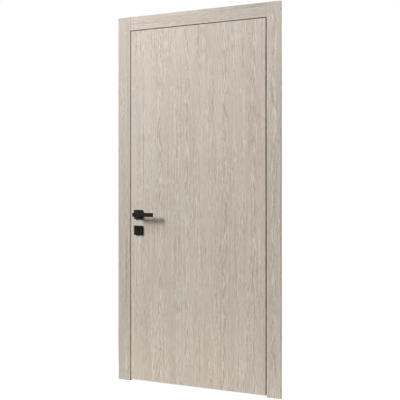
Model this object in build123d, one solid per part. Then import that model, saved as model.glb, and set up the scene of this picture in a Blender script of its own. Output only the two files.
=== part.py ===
from build123d import *
import math
import os

# Flush interior door in its frame. X runs to the right, Y into the wall, Z up.
# The origin is at the floor, on the outer fixing face of the hinge side jamb, in the plane of the wall.
# All sizes are in millimetres.

# Leaf
leaf_width = 800.0
leaf_height = 2000.0
leaf_thickness = 40.0
skin_thickness = 3.0
stile_width = 100.0
rail_height = 100.0
lock_edge_bevel = 1.1

# Gaps round the leaf, and how far its face stands in front of the casings
side_gap = 5.0
head_gap = 5.0
floor_gap = 10.0
leaf_proud = 2.0

# Jambs, stops and seals. Each jamb has a thinner lip in front of the wall plane, inside the casing's rebate,
# with a small clearance beside it
jamb_thickness = 40.0
jamb_depth = 100.0
jamb_lip_clearance = 2.0
stop_thickness = 12.0
stop_depth = 38.0
seal_width = 10.0
seal_thickness = 3.7
seal_inset = 1.0
seal_round = 1.2
seal_clearance = 0.3

# Casings: a flat board with a rebate at the back that covers the jamb's front edge
casing_width = 78.0
casing_thickness = 16.0
casing_cover = 8.0

# Lever, its rosette and the key rosette
lever_height = 958.0
backset = 50.0
key_drop = 90.0
rosette_side = 52.0
rosette_thickness = 10.0
rosette_corner = 2.5
lever_reach = 58.0
lever_bar_thickness = 10.0
lever_bar_height = 22.0
lever_tail = 12.0
lever_length = 114.0
lever_corner = 2.0
neck_radius = 9.0
neck_clearance = 0.25
spindle_side = 8.0
spindle_grip = 20.0
spindle_hole_radius = 6.2

# Key cylinder of the usual pear shaped profile
cylinder_radius = 8.5
cylinder_web = 10.0
cylinder_height = 33.0
cylinder_proud = 1.0
cylinder_clearance = 0.15
key_slot_width = 2.0
key_slot_height = 8.5
key_slot_depth = 12.0

# Mortise lock, its faceplate, bolts and the strike plate
lock_case_thickness = 15.0
lock_case_depth = 72.0
lock_case_above = 45.0
lock_case_below = 125.0
plate_width = 18.0
plate_thickness = 3.0
plate_above = 60.0
plate_below = 160.0
latch_rise = 22.0
latch_height = 32.0
dead_bolt_height = 40.0
bolt_thickness = 11.0
bolt_in_case = 14.0
strike_hole_margin = 1.5
strike_pocket_depth = 22.0

# Concealed hinges: a cup in the jamb, a cup in the leaf and a curved arm that runs between them
hinge_from_leaf_end = 230.0
hinge_axis_in_front = 1.0
hinge_opening_angle = 110.0
hinge_arm_inner = 31.5
hinge_arm_outer = 35.5
hinge_arm_height = 70.0
hinge_arm_engaged = 4.5
hinge_arm_clearance = 0.5
hinge_cup_wall = 2.0
hinge_cup_height = 96.0

# Places worked out from the sizes above
x_jamb = -jamb_thickness
x_leaf_hinge = x_jamb - side_gap
x_leaf_lock = x_leaf_hinge - leaf_width
x_strike = x_leaf_lock - side_gap
x_strike_outer = x_strike - jamb_thickness
x_hinge_lip = -jamb_lip_clearance
x_strike_lip = x_strike_outer + jamb_lip_clearance
x_casing_outer = x_jamb + casing_width
x_strike_casing_outer = x_strike - casing_width
y_casing = -casing_thickness
y_jamb = y_casing + casing_cover
y_leaf = y_casing - leaf_proud
y_leaf_back = y_leaf + leaf_thickness
y_leaf_mid = y_leaf + leaf_thickness / 2
y_stop = y_leaf_back + seal_clearance + seal_thickness
z_leaf = floor_gap
z_leaf_top = z_leaf + leaf_height
z_head = z_leaf_top + head_gap
z_jamb_top = z_head + jamb_thickness
z_casing_top = z_head + casing_width
x_lever = x_leaf_lock + backset
z_key = lever_height - key_drop
z_cylinder = z_key + cylinder_height / 2 - cylinder_radius
x_axis = (x_jamb + x_leaf_hinge) / 2
y_axis = y_leaf - hinge_axis_in_front
hinge_heights = {
    "lower": z_leaf + hinge_from_leaf_end,
    "middle": (z_leaf + z_leaf_top) / 2,
    "upper": z_leaf_top - hinge_from_leaf_end,
}


def block(x, y, z):
    """Box between two X, two Y and two Z values."""
    spans = (x, y, z)
    centre = [(a + b) / 2 for a, b in spans]
    size = [abs(b - a) for a, b in spans]
    return Pos(*centre) * Box(*size)


def upright(points, z):
    """Prism that stands between two heights on an outline of X, Y points."""
    outline = make_face(Polyline(*points, close=True))
    return extrude(Pos(0, 0, z[0]) * outline, amount=z[1] - z[0])


def across(outline, x, z, y):
    """Outline drawn in X and Z, placed at a point and run between two Y values."""
    front = Plane(origin=(x, y[0], z), x_dir=(1, 0, 0), z_dir=(0, -1, 0))
    return extrude(front * outline, amount=-(y[1] - y[0]))


def rounded_square(side, corner):
    return RectangleRounded(side, side, corner)


def cylinder_outline(grow=0.0):
    """Pear shaped profile: a round barrel with a narrower web below it."""
    web_radius = cylinder_web / 2 + grow
    web_drop = cylinder_height - cylinder_radius - cylinder_web / 2
    web = Pos(0, -web_drop / 2) * Rectangle(2 * web_radius, web_drop)
    return Circle(cylinder_radius + grow) + web + Pos(0, -web_drop) * Circle(web_radius)


def ring_sector(inner, outer, half_angle, z):
    """Curved bar about the hinge axis, centred on the direction into the wall."""
    reach = 3 * outer
    turns = (-half_angle, -half_angle / 2, 0, half_angle / 2, half_angle)
    rays = [(reach * math.sin(math.radians(t)), reach * math.cos(math.radians(t))) for t in turns]
    wedge = make_face(Polyline((0, 0), *rays, close=True))
    outline = (Circle(outer) - Circle(inner)) & wedge
    return extrude(Pos(x_axis, y_axis, z[0]) * outline, amount=z[1] - z[0])


# Concealed hinges
hinge_arm_half_angle = (
    hinge_opening_angle / 2
    + math.degrees(math.asin((side_gap / 2) / hinge_arm_inner))
    + hinge_arm_engaged
)
cup_slot_half_angle = hinge_arm_half_angle + math.degrees(hinge_arm_clearance / hinge_arm_inner)
cup_slot_inner = hinge_arm_inner - hinge_arm_clearance
cup_slot_outer = hinge_arm_outer + hinge_arm_clearance
cup_slot_end = math.radians(cup_slot_half_angle)
cup_depth = cup_slot_outer * math.sin(cup_slot_end) - side_gap / 2 + hinge_cup_wall
y_cup = y_axis + cup_slot_inner * math.cos(cup_slot_end) - hinge_cup_wall
y_cup_back = y_axis + cup_slot_outer + hinge_cup_wall


def cup_heights(z):
    return z - hinge_cup_height / 2, z + hinge_cup_height / 2


def hinge_cup_body(x_mouth, direction, z):
    """Outer form of a hinge cup, let in from the face at x_mouth."""
    return block((x_mouth, x_mouth + direction * cup_depth), (y_cup, y_cup_back), cup_heights(z))


def hinge_cup(x_mouth, direction, z):
    """Hinge cup with the curved slot that the arm lies in."""
    half_slot = hinge_arm_height / 2 + hinge_arm_clearance
    slot = ring_sector(cup_slot_inner, cup_slot_outer, cup_slot_half_angle, (z - half_slot, z + half_slot))
    return hinge_cup_body(x_mouth, direction, z) - slot


def hinge_arm(z):
    half = hinge_arm_height / 2
    return ring_sector(hinge_arm_inner, hinge_arm_outer, hinge_arm_half_angle, (z - half, z + half))


# Frame
def lock_plate_span():
    return lever_height - plate_below, lever_height + plate_above


def plate_depth():
    return y_leaf_mid - plate_width / 2, y_leaf_mid + plate_width / 2


def latch_span(grow=0.0):
    middle = lever_height + latch_rise
    return middle - latch_height / 2 - grow, middle + latch_height / 2 + grow


def dead_bolt_span(grow=0.0):
    middle = z_key
    return middle - dead_bolt_height / 2 - grow, middle + dead_bolt_height / 2 + grow


def bolt_depth(grow=0.0):
    half = bolt_thickness / 2 + grow
    return y_leaf_mid - half, y_leaf_mid + half


def strike_holes(x):
    """The two holes that the latch and the dead bolt enter."""
    grow = strike_hole_margin
    return [block(x, bolt_depth(grow), span(grow)) for span in (latch_span, dead_bolt_span)]


def strike_plate_blank():
    return block((x_strike - plate_thickness, x_strike), plate_depth(), lock_plate_span())


def strike_plate():
    return strike_plate_blank() - strike_holes((x_strike - plate_thickness, x_strike))


def frame_cup_bodies():
    return [hinge_cup_body(x_jamb, 1, z) for z in hinge_heights.values()]


def leaf_cup_bodies():
    return [hinge_cup_body(x_leaf_hinge, -1, z) for z in hinge_heights.values()]


def side_jamb(x_inner, x_outer, x_lip):
    """Upright post: full thickness in the wall, and a thinner lip in front of it."""
    outline = [
        (x_inner, y_jamb),
        (x_lip, y_jamb),
        (x_lip, 0),
        (x_outer, 0),
        (x_outer, jamb_depth),
        (x_inner, jamb_depth),
    ]
    return upright(outline, (0, z_jamb_top))


def hinge_jamb():
    return side_jamb(x_jamb, 0, x_hinge_lip) - frame_cup_bodies()


def strike_jamb():
    jamb = side_jamb(x_strike, x_strike_outer, x_strike_lip)
    pockets = strike_holes((x_strike - plate_thickness - strike_pocket_depth, x_strike))
    return jamb - strike_plate_blank() - pockets


def head_jamb():
    board = block((x_strike, x_jamb), (0, jamb_depth), (z_head, z_jamb_top))
    lip = block((x_strike, x_jamb), (y_jamb, 0), (z_head, z_jamb_top - jamb_lip_clearance))
    return board + lip


def side_stop(x_face, direction):
    depth = (y_stop, y_stop + stop_depth)
    return block((x_face, x_face + direction * stop_thickness), depth, (0, z_head))


def head_stop():
    inner = (x_strike + stop_thickness, x_jamb - stop_thickness)
    return block(inner, (y_stop, y_stop + stop_depth), (z_head - stop_thickness, z_head))


def seal_profile(near, far):
    """Flat strip on the stop with the two edges towards the leaf rounded."""
    strip = Pos((near + far) / 2, y_stop - seal_thickness / 2) * Rectangle(abs(far - near), seal_thickness)
    front = strip.vertices().group_by(Axis.Y)[0]
    return fillet(front, seal_round)


def side_seal(x_face, direction):
    near = x_face + direction * seal_inset
    strip = seal_profile(near, near + direction * seal_width)
    return extrude(strip, amount=z_head - seal_inset)


def head_seal():
    """The seal under the head, between the two upright seals."""
    start = x_strike + seal_inset + seal_width
    end = x_jamb - seal_inset - seal_width
    top = z_head - seal_inset
    strip = Rectangle(seal_thickness, seal_width)
    front = strip.vertices().group_by(Axis.X)[-1]
    strip = fillet(front, seal_round)
    y_middle = y_stop - seal_thickness / 2
    section = Plane(origin=(start, y_middle, top - seal_width / 2), x_dir=(0, -1, 0), z_dir=(1, 0, 0))
    return extrude(section * strip, amount=end - start)


def side_casing(x_inner, x_outer, x_rebate):
    """Upright board, rebated at the back over the jamb's lip."""
    outline = [
        (x_inner, y_casing),
        (x_outer, y_casing),
        (x_outer, 0),
        (x_rebate, 0),
        (x_rebate, y_jamb),
        (x_inner, y_jamb),
    ]
    return upright(outline, (0, z_casing_top))


def hinge_side_casing():
    return side_casing(x_jamb, x_casing_outer, 0) - frame_cup_bodies()


def strike_side_casing():
    board = side_casing(x_strike, x_strike_casing_outer, x_strike_outer)
    return board - strike_plate_blank()


def head_casing():
    """Level board between the upright ones, rebated over the head jamb."""
    board = block((x_strike, x_jamb), (y_casing, 0), (z_head, z_casing_top))
    return board - block((x_strike, x_jamb), (y_jamb, 0), (z_head, z_jamb_top))


# Leaf
y_frame_front = y_leaf + skin_thickness
y_frame_back = y_leaf_back - skin_thickness
x_plate = x_leaf_lock + lock_edge_bevel


def lock_case_blank():
    x = (x_plate + plate_thickness, x_plate + plate_thickness + lock_case_depth)
    depth = (y_leaf_mid - lock_case_thickness / 2, y_leaf_mid + lock_case_thickness / 2)
    return block(x, depth, (lever_height - lock_case_below, lever_height + lock_case_above))


def faceplate_blank():
    return block((x_plate, x_plate + plate_thickness), plate_depth(), lock_plate_span())


def faceplate_recess():
    return block((x_leaf_lock - 1, x_plate + plate_thickness), plate_depth(), lock_plate_span())


def bolt(span):
    """A bolt drawn back level with the faceplate."""
    return block((x_plate, x_plate + plate_thickness + bolt_in_case), bolt_depth(), span())


def spindle_hole():
    return across(Circle(spindle_hole_radius), x_lever, lever_height, (y_leaf, y_leaf_back))


def cylinder_hole(y):
    return across(cylinder_outline(cylinder_clearance), x_lever, z_cylinder, y)


def leaf_holes():
    """The holes through the whole leaf, for the spindle and the key cylinder."""
    return [spindle_hole(), cylinder_hole((y_leaf, y_leaf_back))]


def lock_stile():
    """Upright at the lock edge, bevelled so that its back corner clears the frame as it swings."""
    outline = [
        (x_leaf_lock, y_frame_front),
        (x_leaf_lock + stile_width, y_frame_front),
        (x_leaf_lock + stile_width, y_frame_back),
        (x_leaf_lock + lock_edge_bevel, y_frame_back),
    ]
    stile = upright(outline, (z_leaf, z_leaf_top))
    return stile - faceplate_recess() - lock_case_blank() - leaf_holes()


def hinge_stile():
    x = (x_leaf_hinge - stile_width, x_leaf_hinge)
    stile = block(x, (y_frame_front, y_frame_back), (z_leaf, z_leaf_top))
    return stile - leaf_cup_bodies()


def between_stiles(z):
    x = (x_leaf_lock + stile_width, x_leaf_hinge - stile_width)
    return block(x, (y_frame_front, y_frame_back), z)


def top_rail():
    return between_stiles((z_leaf_top - rail_height, z_leaf_top))


def bottom_rail():
    return between_stiles((z_leaf, z_leaf + rail_height))


def leaf_core():
    return between_stiles((z_leaf + rail_height, z_leaf_top - rail_height))


def front_skin():
    skin = block((x_leaf_lock, x_leaf_hinge), (y_leaf, y_frame_front), (z_leaf, z_leaf_top))
    return skin - leaf_holes() - leaf_cup_bodies()


def back_skin():
    x = (x_leaf_lock + lock_edge_bevel, x_leaf_hinge)
    skin = block(x, (y_frame_back, y_leaf_back), (z_leaf, z_leaf_top))
    return skin - leaf_holes() - leaf_cup_bodies()


def lock_faceplate():
    return faceplate_blank() - bolt(latch_span) - bolt(dead_bolt_span)


def lock_case():
    return lock_case_blank() - bolt(latch_span) - bolt(dead_bolt_span) - leaf_holes()


def key_cylinder():
    """Cylinder right through the leaf, with a key slot in each end."""
    front = y_leaf - rosette_thickness - cylinder_proud
    back = y_leaf_back + rosette_thickness + cylinder_proud
    body = across(cylinder_outline(), x_lever, z_cylinder, (front, back))
    slot = Rectangle(key_slot_width, key_slot_height)
    front_slot = across(slot, x_lever, z_cylinder, (front, front + key_slot_depth))
    back_slot = across(slot, x_lever, z_cylinder, (back - key_slot_depth, back))
    return body - front_slot - back_slot


def rosette_plate(z, y):
    return across(rounded_square(rosette_side, rosette_corner), x_lever, z, y)


def lever_rosette(y):
    return rosette_plate(lever_height, y) - across(Circle(neck_radius + neck_clearance), x_lever, lever_height, y)


def key_rosette(y):
    return rosette_plate(z_key, y) - cylinder_hole(y)


# Lever handles
def lever(face, outward):
    """Neck and flat straight bar. face is the leaf's surface, outward is -1 in front and 1 behind."""
    bar_far = face + outward * lever_reach
    bar_near = bar_far - outward * lever_bar_thickness
    neck_span = sorted((face + outward * neck_clearance, bar_near))
    bar_span = sorted((bar_near, bar_far))
    grip_span = sorted((face, face + outward * spindle_grip))
    neck = across(Circle(neck_radius), x_lever, lever_height, neck_span)
    bar_outline = RectangleRounded(lever_tail + lever_length, lever_bar_height, lever_corner)
    bar_middle = x_lever + (lever_length - lever_tail) / 2
    bar = across(bar_outline, bar_middle, lever_height, bar_span)
    socket = across(Rectangle(spindle_side, spindle_side), x_lever, lever_height, grip_span)
    return neck + bar - socket


def spindle():
    """Square bar that joins the two levers through the lock."""
    span = (y_leaf - spindle_grip, y_leaf_back + spindle_grip)
    return across(Rectangle(spindle_side, spindle_side), x_lever, lever_height, span)


front_plate_span = (y_leaf - rosette_thickness, y_leaf)
back_plate_span = (y_leaf_back, y_leaf_back + rosette_thickness)

nodes = {
    "hinge_jamb": hinge_jamb(),
    "strike_jamb": strike_jamb(),
    "head_jamb": head_jamb(),
    "hinge_side_stop": side_stop(x_jamb, -1),
    "strike_side_stop": side_stop(x_strike, 1),
    "head_stop": head_stop(),
    "hinge_side_seal": side_seal(x_jamb, -1),
    "strike_side_seal": side_seal(x_strike, 1),
    "head_seal": head_seal(),
    "hinge_side_casing": hinge_side_casing(),
    "strike_side_casing": strike_side_casing(),
    "head_casing": head_casing(),
    "strike_plate": strike_plate(),
    "lock_stile": lock_stile(),
    "hinge_stile": hinge_stile(),
    "top_rail": top_rail(),
    "bottom_rail": bottom_rail(),
    "leaf_core": leaf_core(),
    "front_skin": front_skin(),
    "back_skin": back_skin(),
    "lock_faceplate": lock_faceplate(),
    "lock_case": lock_case(),
    "latch_bolt": bolt(latch_span),
    "dead_bolt": bolt(dead_bolt_span),
    "key_cylinder": key_cylinder(),
    "front_lever_rosette": lever_rosette(front_plate_span),
    "back_lever_rosette": lever_rosette(back_plate_span),
    "front_key_rosette": key_rosette(front_plate_span),
    "back_key_rosette": key_rosette(back_plate_span),
    "front_lever": lever(y_leaf, -1),
    "back_lever": lever(y_leaf_back, 1),
    "spindle": spindle(),
}
for place, height in hinge_heights.items():
    nodes[f"{place}_hinge_frame_cup"] = hinge_cup(x_jamb, 1, height)
    nodes[f"{place}_hinge_leaf_cup"] = hinge_cup(x_leaf_hinge, -1, height)
    nodes[f"{place}_hinge_arm"] = hinge_arm(height)

os.makedirs("parts", exist_ok=True)
for name, shape in nodes.items():
    export_step(shape, f"parts/{name}.step")
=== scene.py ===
import math

import bmesh
import bpy
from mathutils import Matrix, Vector


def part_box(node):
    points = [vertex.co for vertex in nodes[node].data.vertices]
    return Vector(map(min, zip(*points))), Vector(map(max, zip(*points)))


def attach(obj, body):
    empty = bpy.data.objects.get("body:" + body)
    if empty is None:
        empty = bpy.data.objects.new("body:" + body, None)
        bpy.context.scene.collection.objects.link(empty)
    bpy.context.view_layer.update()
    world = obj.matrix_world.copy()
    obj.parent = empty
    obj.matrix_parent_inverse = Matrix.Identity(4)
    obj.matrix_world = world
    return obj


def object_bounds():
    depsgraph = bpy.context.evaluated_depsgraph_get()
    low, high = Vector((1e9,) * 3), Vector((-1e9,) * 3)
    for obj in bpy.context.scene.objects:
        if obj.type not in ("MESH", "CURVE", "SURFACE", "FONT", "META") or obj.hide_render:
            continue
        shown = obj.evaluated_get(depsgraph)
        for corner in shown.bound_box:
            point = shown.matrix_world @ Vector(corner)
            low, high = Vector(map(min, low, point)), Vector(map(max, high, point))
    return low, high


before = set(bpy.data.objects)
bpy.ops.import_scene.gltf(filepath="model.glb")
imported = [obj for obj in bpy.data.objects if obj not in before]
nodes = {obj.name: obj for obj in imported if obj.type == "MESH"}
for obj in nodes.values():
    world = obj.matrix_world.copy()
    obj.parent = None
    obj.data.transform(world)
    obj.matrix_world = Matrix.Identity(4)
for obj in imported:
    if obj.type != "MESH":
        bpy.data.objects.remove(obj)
cad_low, cad_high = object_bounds()

WHITE = (1.0, 1.0, 1.0, 1.0)
UP = Vector((0, 0, 1))

# Camera, fitted to the straight edges of the photograph. Image sizes are in its pixels.
IMAGE_SIDE = 400.0
FOCAL_LENGTH = 632.7
HORIZON_ROW = 188.0
CAMERA_PLACE = (0.863, -3.258, 1.109)
CAMERA_YAW = math.radians(21.57)
SENSOR_WIDTH = 36.0
CLIP_END = 100.0

# Lamps: a large key from the upper left, a weaker one above it, and two fills that only the back and the
# right side face. Each shines on LIGHT_TARGET from its own direction and distance. Its size is given as its
# width and its height.
LIGHT_TARGET = Vector((-0.45, -0.02, 1.05))
LIGHTS = {
    "key": {"from": (-0.89, -1.0, 0.63), "distance": 12.0, "size": (3.4, 3.6), "power": 1072.0},
    "upper": {"from": (-1.10, -1.0, 1.10), "distance": 11.0, "size": (4.0, 6.0), "power": 685.0},
    "behind": {"from": (0.15, 1.0, 0.50), "distance": 8.0, "size": (2.0, 3.0), "power": 380.0},
    "beside": {"from": (1.00, 0.25, 0.35), "distance": 8.0, "size": (2.0, 3.0), "power": 150.0},
}
LIGHT_COLOR = (1.0, 0.985, 0.972)

# A small lamp in front of the leaf's upper left, turned to shine straight along +Y
GLOW_PLACE = (-0.88, -0.92, 2.20)
GLOW_TURN = (math.pi / 2, 0.0, 0.0)
GLOW_SIZE = (0.4, 0.4)
GLOW_POWER = 0.50
GLOW_COLOR = (0.80, 0.93, 1.0)

# Even light from all round, and the strength of the white that the camera sees
AMBIENT = 0.09
BACKGROUND = 1.0

# Floor: it fades into the background between two distances from the foot of the door. It glows for the
# camera, and only faintly for the door.
FLOOR_HALF_SIDE = 14.0
FLOOR_CENTRE_X = -0.44
FLOOR_FADE = (0.5, 1.2)
FLOOR_DARK = (0.42, 0.42, 0.41, 1.0)
FLOOR_LIGHT = (0.47, 0.47, 0.46, 1.0)
FLOOR_ROUGHNESS = 0.8
FLOOR_GLOW = 0.88
FLOOR_GLOW_ON_DOOR = 0.05

# Fine rounding of the edges of the boards and of the metal
BOARD_EDGE = 0.0004
METAL_EDGE = 0.0007
EDGE_SEGMENTS = 2
EDGE_ANGLE = math.radians(40)
WELD_DISTANCE = 0.00002

# Flat noises: scale across the grain and along it, detail, roughness, and an offset of their own.
# OFFSET_SKEW is how far the offset goes along the grain, as a multiple of how far it goes across.
# NOISE_MIDDLE is the value round which every noise varies.
NOISES = {
    "lines": (140.0, 1.7, 3.0, 0.6, 7.7),
    "fibre": (380.0, 3.5, 2.0, 0.6, 1.9),
    "hairs": (170.0, 21.0, 4.0, 0.9, 3.1),
    "broad": (13.0, 0.6, 2.0, 0.5, 2.3),
    "tint": (10.0, 0.9, 1.0, 0.5, 4.9),
    "band": (22.0, 2.2, 1.0, 0.5, 8.9),
    "sway": (2.0, 5.0, 1.0, 0.5, 6.1),
    "pores": (140.0, 5.5, 5.0, 0.95, 5.3),
    "flecks": (140.0, 5.1, 5.0, 0.95, 9.7),
    "scratches": (2600.0, 60.0, 3.0, 0.5, 0.0),
    "bloom": (300.0, 12.0, 3.0, 0.5, 0.0),
    "floor": (30.0, 30.0, 3.0, 0.5, 0.0),
}
OFFSET_SKEW = 1.7
NOISE_MIDDLE = 0.5


def srgb(*values):
    """Linear colour from 0 to 255 screen values."""
    linear = []
    for value in values:
        part = value / 255
        linear.append(part / 12.92 if part <= 0.04045 else ((part + 0.055) / 1.055) ** 2.4)
    return (*linear, 1.0)


class Nodes:
    """Short forms for building a material's node tree."""

    def __init__(self, name):
        self.material = bpy.data.materials.new(name)
        self.material.use_nodes = True
        self.tree = self.material.node_tree
        self.tree.nodes.clear()

    def new(self, kind, **settings):
        node = self.tree.nodes.new(kind)
        for key, value in settings.items():
            setattr(node, key, value)
        return node

    def put(self, value, socket):
        """Links a socket to another one's value, or sets it to a constant."""
        if isinstance(value, bpy.types.NodeSocket):
            self.tree.links.new(value, socket)
        else:
            socket.default_value = value

    def math(self, operation, a, b=0.0, c=0.0):
        node = self.new("ShaderNodeMath", operation=operation)
        for value, socket in zip((a, b, c), node.inputs):
            self.put(value, socket)
        return node.outputs[0]

    def step(self, value, low, high):
        """Smooth step from 0 at low to 1 at high."""
        node = self.new("ShaderNodeMapRange", interpolation_type="SMOOTHSTEP")
        self.put(value, node.inputs["Value"])
        node.inputs["From Min"].default_value = low
        node.inputs["From Max"].default_value = high
        return node.outputs["Result"]

    def spread(self, value, low, high):
        """Value from 0 to 1 spread between low and high."""
        node = self.new("ShaderNodeMapRange")
        self.put(value, node.inputs["Value"])
        node.inputs["To Min"].default_value = low
        node.inputs["To Max"].default_value = high
        return node.outputs["Result"]

    def away(self, value, place):
        """Distance between a value and a place."""
        return self.math("ABSOLUTE", self.math("SUBTRACT", value, place))

    def mix(self, factor, a, b):
        node = self.new("ShaderNodeMix", data_type="RGBA")
        self.put(factor, node.inputs["Factor"])
        self.put(a, node.inputs[6])
        self.put(b, node.inputs[7])
        return node.outputs[2]

    def paint(self, color, amount, strength, paint):
        """A colour covered with another one, by an amount from 0 to 1 at some strength."""
        return self.mix(self.math("MULTIPLY", amount, strength), color, paint)

    def place(self):
        """X, Y and Z of the point in the object's own frame."""
        coordinates = self.new("ShaderNodeTexCoord")
        split = self.new("ShaderNodeSeparateXYZ")
        self.tree.links.new(coordinates.outputs["Object"], split.inputs[0])
        return split.outputs

    def noise(self, kind, across, along, shift=0.0):
        """One of the NOISES, moved by shift."""
        scale_across, scale_along, detail, roughness, own_offset = NOISES[kind]
        combine = self.new("ShaderNodeCombineXYZ")
        self.put(self.math("MULTIPLY", across, scale_across), combine.inputs[0])
        self.put(self.math("MULTIPLY", along, scale_along), combine.inputs[1])
        offset = shift + own_offset
        moved = self.new("ShaderNodeVectorMath", operation="ADD")
        self.tree.links.new(combine.outputs[0], moved.inputs[0])
        moved.inputs[1].default_value = (offset, offset * OFFSET_SKEW, 0.0)
        texture = self.new("ShaderNodeTexNoise", noise_dimensions="2D")
        self.tree.links.new(moved.outputs[0], texture.inputs["Vector"])
        texture.inputs["Scale"].default_value = 1.0
        texture.inputs["Detail"].default_value = detail
        texture.inputs["Roughness"].default_value = roughness
        return texture.outputs["Fac"]

    def solid_noise(self, scale, detail):
        """Noise of the same size in all three directions."""
        coordinates = self.new("ShaderNodeTexCoord")
        texture = self.new("ShaderNodeTexNoise")
        self.tree.links.new(coordinates.outputs["Object"], texture.inputs["Vector"])
        texture.inputs["Scale"].default_value = scale
        texture.inputs["Detail"].default_value = detail
        return texture.outputs["Fac"]

    def bump(self, height, distance, strength):
        node = self.new("ShaderNodeBump")
        node.inputs["Strength"].default_value = strength
        node.inputs["Distance"].default_value = distance
        self.put(height, node.inputs["Height"])
        return node.outputs["Normal"]

    def finish(self, shader):
        """The material, once its shader is linked to the output."""
        output = self.new("ShaderNodeOutputMaterial")
        self.tree.links.new(shader.outputs[0], output.inputs["Surface"])
        return self.material

    def surface(self, color, roughness, normal, **constants):
        """The material with a principled shader; the constants are set on its sockets."""
        shader = self.new("ShaderNodeBsdfPrincipled")
        self.put(color, shader.inputs["Base Color"])
        self.put(roughness, shader.inputs["Roughness"])
        self.put(normal, shader.inputs["Normal"])
        for key, value in constants.items():
            shader.inputs[key.replace("_", " ")].default_value = value
        return self.finish(shader)


# Wood: colours of the fibre, the pores, the light flecks and two faint tints, how far the base colour evens
# out those tints, the smoothest and the roughest value, the bump's depth and strength, and the fibre's share
# in the relief
WOOD_BASE = srgb(203, 193, 181)
WOOD_DARK = srgb(150, 138, 122)
WOOD_LIGHT = srgb(238, 230, 220)
WOOD_WARM = srgb(207, 191, 178)
WOOD_COOL = srgb(199, 193, 181)
WOOD_EVENNESS = 0.60
WOOD_ROUGHNESS = (0.46, 0.68)
WOOD_BUMP = (0.0002, 0.6)
FIBRE_RELIEF = 0.35

# How much the grain moves across with depth, so that it runs on over a board's edges
GRAIN_DEPTH_SHARE = 0.83

# Values between which the tint and the band noises change over, and what the bands do to the strength of
# lively streaks: its share in the calmest and in the liveliest band
CHANGE_OVER = (0.38, 0.62)
LIVELINESS = (0.55, 1.40)

# Streaks in the order in which they are painted: noise, its values where they start and where they are
# full, strength, colour, and whether they are lively
STREAKS = (
    ("broad", 0.60, 0.34, 0.14, WOOD_DARK, False),
    ("lines", 0.50, 0.76, 0.37, WOOD_DARK, True),
    ("lines", 0.48, 0.26, 0.31, WOOD_LIGHT, True),
    ("fibre", 0.46, 0.76, 0.22, WOOD_DARK, False),
    ("hairs", 0.51, 0.62, 0.36, WOOD_DARK, True),
    ("hairs", 0.47, 0.36, 0.28, WOOD_LIGHT, True),
)

# Columns of slanting flecks: how far they sway, the distances from their middle where they start and are
# full, the shifts that set their two sides and each of them apart, their slant, and a distance that is
# larger than any from a column
COLUMN_SWAY = 0.035
COLUMN_EDGES = (0.026, 0.003)
COLUMN_SIDE_SHIFT = 0.37
COLUMN_SHIFT = 1.3
COLUMN_SLANT = 0.12
BEYOND_COLUMNS = 1.0

# Pores and flecks of the columns: values of their noises where they start and are full, and their strength
PORE_EDGES = (0.50, 0.57)
PORE_STRENGTH = 0.76
FLECK_EDGES = (0.51, 0.58)
FLECK_STRENGTH = 0.68

# A board's edges behind its face are darkened with painted shade: the tone it gives them, and how far behind
# the face it starts and is full
PAINTED_EDGE_SHADE = 0.79
EDGE_START = 0.0003
EDGE_FULL = 0.0010

# Painted shade on the casing's outer side: its darker and lighter colours, the values where their streaks
# start and are full, and the width over which it starts
SIDE_SHADE_DARK = srgb(140, 138, 134)
SIDE_SHADE_LIGHT = srgb(170, 167, 162)
SIDE_STREAK_EDGES = (0.3, 0.7)
SIDE_BLEND = 0.0006

# Painted shade: dark lines in the seams where boards meet, and a dark edge beside the leaf, with the
# distances where it starts and is full
PAINTED_SHADE_COLOR = srgb(92, 84, 76)
SEAM_SHADE_WIDTH = 0.0022
GAP_SHADE = 0.9
GAP_EDGES = (0.0008, 0.0004)


def figure(n, side, length, columns, shift):
    """How close a point is to the nearest column of flecks, and its distance from that column.

    The distance gets a shift of its own on each side of each column, so that no two of them look alike.
    """
    wander = n.math("SUBTRACT", n.noise("sway", side, length, shift), NOISE_MIDDLE)
    swayed = n.math("MULTIPLY_ADD", wander, COLUMN_SWAY, side)
    closeness = 0.0
    nearest = BEYOND_COLUMNS
    shifted = 0.0
    for count, (place, weight) in enumerate(columns, start=1):
        aside = n.math("SUBTRACT", swayed, place)
        away = n.math("ABSOLUTE", aside)
        near = n.math("MULTIPLY", n.step(away, *COLUMN_EDGES), weight)
        closeness = n.math("MAXIMUM", near, closeness)
        on_left = n.math("LESS_THAN", aside, 0.0)
        own = n.math("MULTIPLY_ADD", on_left, COLUMN_SIDE_SHIFT, n.math("ADD", away, COLUMN_SHIFT * count))
        is_nearest = n.math("LESS_THAN", away, nearest)
        change = n.math("SUBTRACT", own, shifted)
        shifted = n.math("MULTIPLY_ADD", is_nearest, change, shifted)
        nearest = n.math("MINIMUM", away, nearest)
    return closeness, shifted


def grain(n, noises):
    """The wood's colour: two faint tints under streaks, some of which are weaker in calm bands."""
    liveliness = n.spread(n.step(noises["band"], *CHANGE_OVER), *LIVELINESS)
    color = n.mix(n.step(noises["tint"], *CHANGE_OVER), WOOD_WARM, WOOD_COOL)
    color = n.mix(WOOD_EVENNESS, color, WOOD_BASE)
    for kind, start, full, strength, paint, lively in STREAKS:
        if lively:
            strength = n.math("MULTIPLY", liveliness, strength)
        color = n.paint(color, n.step(noises[kind], start, full), strength, paint)
    return color


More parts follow.
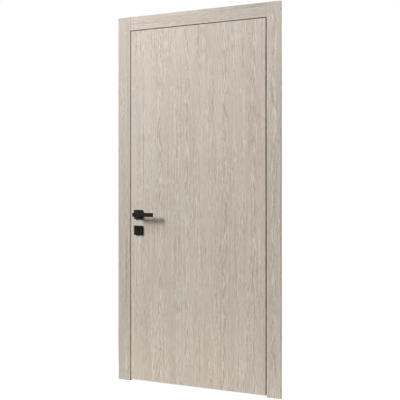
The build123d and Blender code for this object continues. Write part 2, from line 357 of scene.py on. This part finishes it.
def wood(name, along, shift, tone=1.0, front=None, columns=(), shade_from=None, joints=(), gap=None):
    """Pale oak with straight grain and, on some boards, columns of slanting flecks.

    along: the grain's direction, "X" or "Z"
    shift: how far the grain is moved, so that no two boards match
    tone: how light the board is
    front: the Y value of its face, behind which its edges are darkened with painted shade
    columns: the places and the strengths of the columns across the board
    shade_from: the X value from which outwards the board's outer side shows painted shade
    joints: the X values and the strengths of fine lines of painted shade in the seams where it meets other
    boards
    gap: the direction and the place of its edge beside the leaf, which gets painted shade behind front; it
    needs front
    """
    n = Nodes(name)
    x, y, z = n.place()
    length, side = (x, z) if along == "X" else (z, x)
    across = n.math("ADD", n.math("ADD", side, n.math("MULTIPLY", y, GRAIN_DEPTH_SHARE)), shift)
    kinds = ("lines", "fibre", "hairs", "broad", "tint", "band")
    noises = {kind: n.noise(kind, across, length, shift) for kind in kinds}
    color = grain(n, noises)
    relief = n.math("MULTIPLY", noises["fibre"], FIBRE_RELIEF)
    if columns:
        closeness, distance = figure(n, side, length, columns, shift)
        slant = n.math("MULTIPLY_ADD", length, COLUMN_SLANT, distance)
        pores = n.step(n.noise("pores", slant, length, shift), *PORE_EDGES)
        pores = n.math("MULTIPLY", pores, closeness)
        flecks = n.step(n.noise("flecks", slant, length, shift), *FLECK_EDGES)
        flecks = n.math("MULTIPLY", flecks, closeness)
        color = n.paint(color, pores, PORE_STRENGTH, WOOD_DARK)
        color = n.paint(color, flecks, FLECK_STRENGTH, WOOD_LIGHT)
        relief = n.math("SUBTRACT", relief, pores)
    # Painted shade: the board's edges behind its face are darkened
    shade = tone
    if front is not None:
        behind = n.step(y, front + EDGE_START, front + EDGE_FULL)
        shade = n.spread(behind, tone, tone * PAINTED_EDGE_SHADE)
    scaled = n.new("ShaderNodeVectorMath", operation="SCALE")
    n.put(color, scaled.inputs[0])
    n.put(shade, scaled.inputs["Scale"])
    color = scaled.outputs[0]
    # Painted shade on the board's outer side
    if shade_from is not None:
        side_shade = n.mix(n.step(noises["lines"], *SIDE_STREAK_EDGES), SIDE_SHADE_DARK, SIDE_SHADE_LIGHT)
        color = n.mix(n.step(x, shade_from - SIDE_BLEND, shade_from), color, side_shade)
    # Painted shade in the seams where the board meets others
    for place, strength in joints:
        line = n.step(n.away(x, place), SEAM_SHADE_WIDTH, SEAM_SHADE_WIDTH / 2)
        color = n.paint(color, line, strength, PAINTED_SHADE_COLOR)
    # Painted shade along the edge beside the leaf, behind the face
    if gap is not None:
        direction, place = gap
        edge = n.step(n.away(x if direction == "X" else z, place), *GAP_EDGES)
        color = n.paint(color, n.math("MULTIPLY", edge, behind), GAP_SHADE, PAINTED_SHADE_COLOR)
    mean = n.math("MULTIPLY_ADD", noises["hairs"], 0.5, n.math("MULTIPLY", noises["fibre"], 0.5))
    return n.surface(color, n.spread(mean, *WOOD_ROUGHNESS), n.bump(relief, *WOOD_BUMP))


# Black powder coat: its darkest and lightest colour for a tone of 1, how far its roughness varies, its
# shine, the scale and detail of its patches and of its fine skin, and that skin's bump
BLACK_LOW = (0.90, 0.82, 0.70)
BLACK_HIGH = (1.25, 1.15, 1.00)
BLACK_ROUGHNESS_RANGE = (-0.06, 0.08)
BLACK_SPECULAR = 0.28
BLACK_SPECULAR_TINT = (1.0, 0.94, 0.82, 1.0)
PATCHES = (70.0, 3.0)
PATCH_EDGES = (0.3, 0.7)
SKIN = (2200.0, 2.0)
SKIN_BUMP = (0.00003, 0.5)

# Tone and roughness of each black
HANDLE_BLACK = (0.007, 0.40)
CYLINDER_BLACK = (0.003, 0.34)
FITTING_BLACK = (0.014, 0.42)
HINGE_BLACK = (0.018, 0.46)

# Brushed steel and seal rubber: colours, smoothest and roughest value, the bump's depth and strength, how
# much the steel's scratches move across with depth, and where the rubber's bloom starts and is full
STEEL_DARK = (0.42, 0.42, 0.41, 1.0)
STEEL_LIGHT = (0.66, 0.66, 0.64, 1.0)
STEEL_ROUGHNESS = (0.24, 0.42)
STEEL_BUMP = (0.00002, 0.5)
STEEL_DEPTH_SHARE = 0.9
RUBBER_DARK = (0.020, 0.018, 0.016, 1.0)
RUBBER_LIGHT = (0.045, 0.042, 0.038, 1.0)
RUBBER_BLOOM_EDGES = (0.35, 0.7)
RUBBER_ROUGHNESS = (0.62, 0.85)
RUBBER_BUMP = (0.00005, 0.4)


def black_metal(name, tone, roughness):
    """Satin black powder coat, slightly uneven, with a fine skin."""
    n = Nodes(name)
    patches = n.solid_noise(*PATCHES)
    dark = (*(tone * share for share in BLACK_LOW), 1.0)
    light = (*(tone * share for share in BLACK_HIGH), 1.0)
    color = n.mix(n.step(patches, *PATCH_EDGES), dark, light)
    smoothest, roughest = (roughness + change for change in BLACK_ROUGHNESS_RANGE)
    return n.surface(
        color,
        n.spread(patches, smoothest, roughest),
        n.bump(n.solid_noise(*SKIN), *SKIN_BUMP),
        Specular_IOR_Level=BLACK_SPECULAR,
        Specular_Tint=BLACK_SPECULAR_TINT,
    )


def steel(name):
    """Brushed steel: fine scratches that run upright."""
    n = Nodes(name)
    x, y, z = n.place()
    across = n.math("ADD", x, n.math("MULTIPLY", y, STEEL_DEPTH_SHARE))
    scratches = n.noise("scratches", across, z)
    color = n.mix(scratches, STEEL_DARK, STEEL_LIGHT)
    roughness = n.spread(scratches, *STEEL_ROUGHNESS)
    return n.surface(color, roughness, n.bump(scratches, *STEEL_BUMP), Metallic=1.0)


def rubber(name):
    """Dark seal, matt, with faint bloom along its length."""
    n = Nodes(name)
    x, y, z = n.place()
    bloom = n.noise("bloom", n.math("ADD", x, y), z)
    color = n.mix(n.step(bloom, *RUBBER_BLOOM_EDGES), RUBBER_DARK, RUBBER_LIGHT)
    return n.surface(color, n.spread(bloom, *RUBBER_ROUGHNESS), n.bump(bloom, *RUBBER_BUMP))


# Columns of flecks on the leaf's two faces and on the hinge side casing: X and strength
LEAF_COLUMNS = (
    (-0.761, 0.5), (-0.661, 1.0), (-0.568, 0.5), (-0.496, 1.0),
    (-0.430, 0.5), (-0.356, 0.5), (-0.273, 1.0), (-0.109, 1.0),
)
BACK_COLUMNS = ((-0.735, 1.0), (-0.610, 0.6), (-0.520, 1.0), (-0.395, 0.6), (-0.300, 1.0), (-0.150, 0.8))
CASING_COLUMNS = ((-0.002, 1.05),)

# Every board, with what wood() is told about it
leaf_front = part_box("front_skin")[0][1]
casing_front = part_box("head_casing")[0][1]
BOARDS = {
    "front_skin": {"along": "Z", "shift": 0.0, "front": leaf_front, "columns": LEAF_COLUMNS},
    "back_skin": {"along": "Z", "shift": 11.3, "columns": BACK_COLUMNS},
    # The leaf's stiles and rails, seen in the gaps round it, are darkened with painted shade
    "lock_stile": {"along": "Z", "shift": 3.7, "tone": PAINTED_EDGE_SHADE},
    "hinge_stile": {"along": "Z", "shift": 5.9, "tone": PAINTED_EDGE_SHADE},
    "top_rail": {"along": "X", "shift": 7.1, "tone": PAINTED_EDGE_SHADE},
    "bottom_rail": {"along": "X", "shift": 8.3, "tone": PAINTED_EDGE_SHADE},
    "leaf_core": {"along": "Z", "shift": 9.1},
    "hinge_side_casing": {
        "along": "Z", "shift": 13.9, "front": casing_front, "columns": CASING_COLUMNS,
        # Its outer side shows painted shade
        "shade_from": cad_high.x,
    },
    "strike_side_casing": {
        "along": "Z", "shift": 17.3, "tone": 0.91, "front": casing_front,
        # Painted shade along its edge beside the leaf
        "gap": ("X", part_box("strike_side_casing")[1][0]),
    },
    "head_casing": {
        "along": "X", "shift": 19.7, "tone": 0.97, "front": casing_front,
        # Painted shade in the seams at its two ends, and along its edge beside the leaf
        "joints": ((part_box("head_casing")[0][0], 0.7), (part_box("head_casing")[1][0], 0.3)),
        "gap": ("Z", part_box("head_casing")[0][2]),
    },
    "hinge_jamb": {"along": "Z", "shift": 23.1},
    "strike_jamb": {"along": "Z", "shift": 27.9},
    "head_jamb": {"along": "X", "shift": 31.3},
    "hinge_side_stop": {"along": "Z", "shift": 35.1},
    "strike_side_stop": {"along": "Z", "shift": 37.7},
    "head_stop": {"along": "X", "shift": 41.9},
}
PLACES = ("lower", "middle", "upper")
HARDWARE = (
    "front_lever_rosette", "back_lever_rosette", "front_key_rosette", "back_key_rosette",
    "front_lever", "back_lever",
)
FITTINGS = ("strike_plate", "lock_faceplate")
STEEL_PARTS = ("lock_case", "latch_bolt", "dead_bolt", "spindle")
SEALS = ("hinge_side_seal", "strike_side_seal", "head_seal")


def dress(name, material, edge=0.0):
    """Gives a CAD node its material and rounds its edges."""
    part = nodes[name]
    for slot in part.material_slots:
        slot.material = material
    if edge:
        weld = part.modifiers.new("weld", "WELD")
        weld.merge_threshold = WELD_DISTANCE
        bevel = part.modifiers.new("edge", "BEVEL")
        bevel.width = edge
        bevel.segments = EDGE_SEGMENTS
        bevel.limit_method = "ANGLE"
        bevel.angle_limit = EDGE_ANGLE
        bevel.harden_normals = True


def dress_all():
    """Dresses every CAD node. Returns the two blacks that the small fittings share."""
    for name, board in BOARDS.items():
        dress(name, wood("wood_" + name, **board), BOARD_EDGE)
    handle_black = black_metal("satin_black", *HANDLE_BLACK)
    cylinder_black = black_metal("cylinder_black", *CYLINDER_BLACK)
    fitting_black = black_metal("fitting_black", *FITTING_BLACK)
    hinge_black = black_metal("hinge_black", *HINGE_BLACK)
    for name in HARDWARE:
        dress(name, handle_black, METAL_EDGE)
    dress("key_cylinder", cylinder_black)
    for name in FITTINGS:
        dress(name, fitting_black, METAL_EDGE / 2)
    brushed = steel("brushed_steel")
    for name in STEEL_PARTS:
        dress(name, brushed)
    seal = rubber("seal_rubber")
    for name in SEALS:
        dress(name, seal)
    for place in PLACES:
        for piece in ("frame_cup", "leaf_cup", "arm"):
            dress(f"{place}_hinge_{piece}", hinge_black, METAL_EDGE / 2)
    return cylinder_black, fitting_black


def add_object(name, data):
    """Object with that data, linked to the scene."""
    new_object = bpy.data.objects.new(name, data)
    bpy.context.collection.objects.link(new_object)
    return new_object


def floor_material():
    """Pale floor near the door that fades into the background's white and light away from it."""
    n = Nodes("pale_floor")
    x, y = n.place()[:2]
    from_door = n.math("SUBTRACT", x, FLOOR_CENTRE_X)
    squares = n.math("ADD", n.math("MULTIPLY", from_door, from_door), n.math("MULTIPLY", y, y))
    fade = n.step(n.math("SQRT", squares), *FLOOR_FADE)
    seen = n.new("ShaderNodeLightPath").outputs["Is Camera Ray"]
    pale = n.new("ShaderNodeBsdfPrincipled")
    n.put(n.mix(n.noise("floor", x, y), FLOOR_DARK, FLOOR_LIGHT), pale.inputs["Base Color"])
    pale.inputs["Roughness"].default_value = FLOOR_ROUGHNESS
    pale.inputs["Emission Color"].default_value = WHITE
    n.put(n.spread(seen, FLOOR_GLOW_ON_DOOR, FLOOR_GLOW), pale.inputs["Emission Strength"])
    glow = n.new("ShaderNodeEmission")
    n.put(n.spread(seen, AMBIENT, BACKGROUND), glow.inputs["Strength"])
    blend = n.new("ShaderNodeMixShader")
    n.put(fade, blend.inputs[0])
    n.tree.links.new(pale.outputs[0], blend.inputs[1])
    n.tree.links.new(glow.outputs[0], blend.inputs[2])
    return n.finish(blend)


def add_floor():
    mesh = bpy.data.meshes.new("floor")
    side = FLOOR_HALF_SIDE
    corners = [(-side, -side, 0), (side, -side, 0), (side, side, 0), (-side, side, 0)]
    mesh.from_pydata(corners, [], [(0, 1, 2, 3)])
    mesh.materials.append(floor_material())
    floor = add_object("floor", mesh)


def add_world():
    """White behind the door, and a dimmer even light from all round."""
    world = bpy.data.worlds.new("studio")
    bpy.context.scene.world = world
    world.use_nodes = True
    tree = world.node_tree
    tree.nodes.clear()
    path = tree.nodes.new("ShaderNodeLightPath")
    strength = tree.nodes.new("ShaderNodeMapRange")
    strength.inputs["To Min"].default_value = AMBIENT
    strength.inputs["To Max"].default_value = BACKGROUND
    background = tree.nodes.new("ShaderNodeBackground")
    background.inputs["Color"].default_value = WHITE
    output = tree.nodes.new("ShaderNodeOutputWorld")
    tree.links.new(path.outputs["Is Camera Ray"], strength.inputs["Value"])
    tree.links.new(strength.outputs["Result"], background.inputs["Strength"])
    tree.links.new(background.outputs[0], output.inputs["Surface"])


def add_lamp(name, place, turn, size, power, color):
    """Rectangular lamp that shines along its own -Z."""
    light = bpy.data.lights.new(name, "AREA")
    light.shape = "RECTANGLE"
    light.size, light.size_y = size
    light.energy = power
    light.color = color
    lamp = add_object(name, light)
    lamp.location = place
    lamp.rotation_euler = turn


def add_lights():
    for name, lamp in LIGHTS.items():
        direction = Vector(lamp["from"]).normalized()
        place = LIGHT_TARGET + direction * lamp["distance"]
        turn = (-direction).to_track_quat("-Z", "Y").to_euler()
        add_lamp(name, place, turn, lamp["size"], lamp["power"], LIGHT_COLOR)
    add_lamp("glow", GLOW_PLACE, GLOW_TURN, GLOW_SIZE, GLOW_POWER, GLOW_COLOR)


def add_camera():
    camera = bpy.data.cameras.new("camera")
    camera.sensor_width = SENSOR_WIDTH
    camera.lens = FOCAL_LENGTH / IMAGE_SIDE * SENSOR_WIDTH
    camera.shift_y = (HORIZON_ROW - IMAGE_SIDE / 2) / IMAGE_SIDE
    camera.clip_end = CLIP_END
    holder = add_object("camera", camera)
    holder.location = CAMERA_PLACE
    holder.rotation_euler = (math.pi / 2, 0.0, CAMERA_YAW)
    bpy.context.scene.camera = holder


# Small fittings on the metal parts: screws and key plugs. PLUG_SLOT is the width and the height of the key's
# opening, and NEARLY_ZERO keeps a division in its outline from being by zero.
SCREW_RADIUS = 0.0036
SCREW_RISE = 0.0006
SCREW_RECESS = 0.0004
SCREW_CROSS_ARM = 0.0021
SCREW_CROSS_WIDTH = 0.0009
SCREW_DOME_POWER = 4
SCREW_RINGS = 12
SCREW_SIDES = 48
PLATE_SCREW_INSET = 0.010
HINGE_SCREW_INSET = 0.006
PLUG_RADIUS = 0.0066
PLUG_RISE = 0.0005
PLUG_BEVEL = 0.0002
PLUG_SLOT = (0.0020, 0.0085)
PLUG_SIDES = 64
NEARLY_ZERO = 1e-6


def on_face(mesh, place, normal):
    """Function that adds a point: across and up from a place on an upright face, and out of it."""
    origin = Vector(place)
    out = Vector(normal)
    side = out.cross(UP)
    return lambda u, v, rise: mesh.verts.new(origin + side * u + UP * v + out * rise)


def cross_recess(u, v):
    """Depth of a cross recess at a point of the screw's head."""
    in_arm = min(abs(u), abs(v)) < SCREW_CROSS_WIDTH / 2 and max(abs(u), abs(v)) < SCREW_CROSS_ARM
    return SCREW_RECESS if in_arm else 0.0


def close_ring(mesh, inner, outer):
    """Faces between two rings of points."""
    for step in range(len(outer)):
        after = (step + 1) % len(outer)
        mesh.faces.new((inner[step], outer[step], outer[after], inner[after]))


def screw_head(mesh, place, normal):
    """Slightly domed head with a cross recess, added to a mesh."""
    point = on_face(mesh, place, normal)
    centre = point(0.0, 0.0, SCREW_RISE - cross_recess(0.0, 0.0))
    inner = None
    for ring in range(1, SCREW_RINGS + 1):
        r = SCREW_RADIUS * ring / SCREW_RINGS
        dome = SCREW_RISE * (1 - (r / SCREW_RADIUS) ** SCREW_DOME_POWER)
        outer = []
        for step in range(SCREW_SIDES):
            angle = 2 * math.pi * step / SCREW_SIDES
            u, v = r * math.cos(angle), r * math.sin(angle)
            outer.append(point(u, v, dome - cross_recess(u, v)))
        if inner is None:
            for step in range(SCREW_SIDES):
                mesh.faces.new((centre, outer[step], outer[(step + 1) % SCREW_SIDES]))
        else:
            close_ring(mesh, inner, outer)
        inner = outer


def key_plug(mesh, place, normal):
    """Flat round plug with an opening for the key, added to a mesh."""
    point = on_face(mesh, place, normal)
    half_width, half_height = PLUG_SLOT[0] / 2, PLUG_SLOT[1] / 2
    slot, face, rim = [], [], []
    for step in range(PLUG_SIDES):
        angle = 2 * math.pi * step / PLUG_SIDES
        u, v = math.cos(angle), math.sin(angle)
        reach = min(half_width / max(abs(u), NEARLY_ZERO), half_height / max(abs(v), NEARLY_ZERO))
        inside = PLUG_RADIUS - PLUG_BEVEL
        slot.append(point(u * reach, v * reach, PLUG_RISE))
        face.append(point(u * inside, v * inside, PLUG_RISE))
        rim.append(point(u * PLUG_RADIUS, v * PLUG_RADIUS, 0.0))
    close_ring(mesh, slot, face)
    close_ring(mesh, face, rim)


def add_piece(name, body, material, build, places, normal):
    """A piece made by build at each place on a face with that normal, riding on a body."""
    shape = bmesh.new()
    for place in places:
        build(shape, place, normal)
    bmesh.ops.recalc_face_normals(shape, faces=shape.faces)
    mesh = bpy.data.meshes.new(name)
    shape.to_mesh(mesh)
    shape.free()
    mesh.materials.append(material)
    piece = add_object(name, mesh)
    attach(piece, body)


def add_screws(name, node, body, material, direction, inset):
    """Two screws near the ends of a node's left face, direction -1, or of its right face, direction 1."""
    low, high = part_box(node)
    x = high[0] if direction > 0 else low[0]
    y = (low[1] + high[1]) / 2
    places = [(x, y, z) for z in (low[2] + inset, high[2] - inset)]
    add_piece(name, body, material, screw_head, places, (direction, 0, 0))


def add_key_plugs(material):
    """Plugs on the front and the back end of the key cylinder."""
    low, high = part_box("key_cylinder")
    x = (low[0] + high[0]) / 2
    z = high[2] - (high[0] - low[0]) / 2
    for side, y, direction in (("front", low[1], -1), ("back", high[1], 1)):
        name = f"{side}_key_plug"
        add_piece(name, "leaf", material, key_plug, [(x, y, z)], (0, direction, 0))


def add_fittings(plug_black, screw_black):
    """Screws in the plates and in the hinge cups, and the plugs of the key cylinder."""
    screwed = [
        ("strike_plate_screws", "strike_plate", "frame", "black_metal", 1, PLATE_SCREW_INSET),
        ("lock_faceplate_screws", "lock_faceplate", "leaf", "black_metal", -1, PLATE_SCREW_INSET),
    ]
    for place in PLACES:
        for body, direction in (("frame", -1), ("leaf", 1)):
            start = f"{place}_hinge_{body}"
            screwed.append(
                (f"{start}_screws", f"{start}_cup", body, "hinge_metal", direction, HINGE_SCREW_INSET)
            )
    for name, node, body, slot, direction, inset in screwed:
        add_screws(name, node, body, screw_black, direction, inset)
    add_key_plugs(plug_black)


add_camera()
add_world()
add_lights()
add_floor()
bpy.context.scene.view_settings.view_transform = "Standard"
add_fittings(*dress_all())
